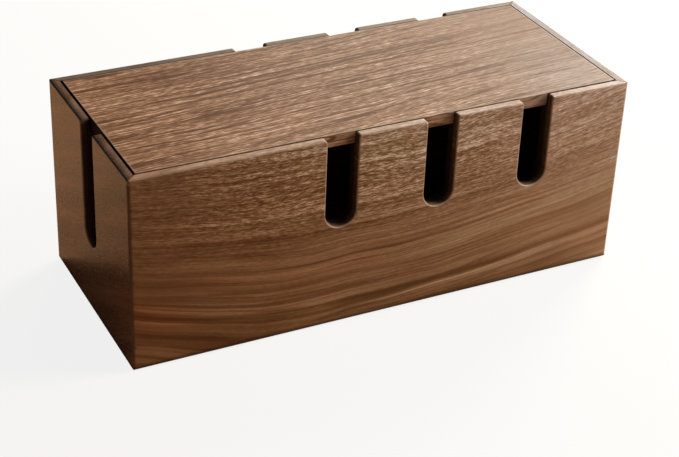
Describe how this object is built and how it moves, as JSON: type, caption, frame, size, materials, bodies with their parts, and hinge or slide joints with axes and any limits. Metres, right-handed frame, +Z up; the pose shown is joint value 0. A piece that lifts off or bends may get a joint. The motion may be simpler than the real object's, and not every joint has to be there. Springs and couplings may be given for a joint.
{
  "type": "cable management box",
  "caption": "Walnut desk box with mitred walls, U-shaped cable slots in three sides and a loose lid that lies flush inside the rim.",
  "frame": {"origin": "on the table under the middle of the box, at the underside of the pads", "axes": "+X along the length to the right end, -Y towards the front wall, +Z up"},
  "size_m": [0.31, 0.13, 0.12],
  "materials": {
    "walnut_walls": "oiled satin",
    "walnut_ends": "oiled satin",
    "walnut_lid": "oiled satin",
    "beech_splines": "raw",
    "rubber_pads": "matte"
  },
  "bodies": {
    "box": {"front_wall": "walnut_walls", "back_wall": "walnut_walls", "left_end_wall": "walnut_ends", "right_end_wall": "walnut_ends", "bottom_board": "walnut_ends", "spline_front_left": "beech_splines", "spline_front_right": "beech_splines", "spline_back_left": "beech_splines", "spline_back_right": "beech_splines", "pad_front_left": "rubber_pads", "pad_front_right": "rubber_pads", "pad_back_left": "rubber_pads", "pad_back_right": "rubber_pads"},
    "lid": {"lid": "walnut_lid"}
  },
  "joints": [
    {"name": "lid_lift", "type": "slide", "parent": "box", "child": "lid", "axis": [0, 0, 1], "range_m": [0, 0.1]}
  ]
}
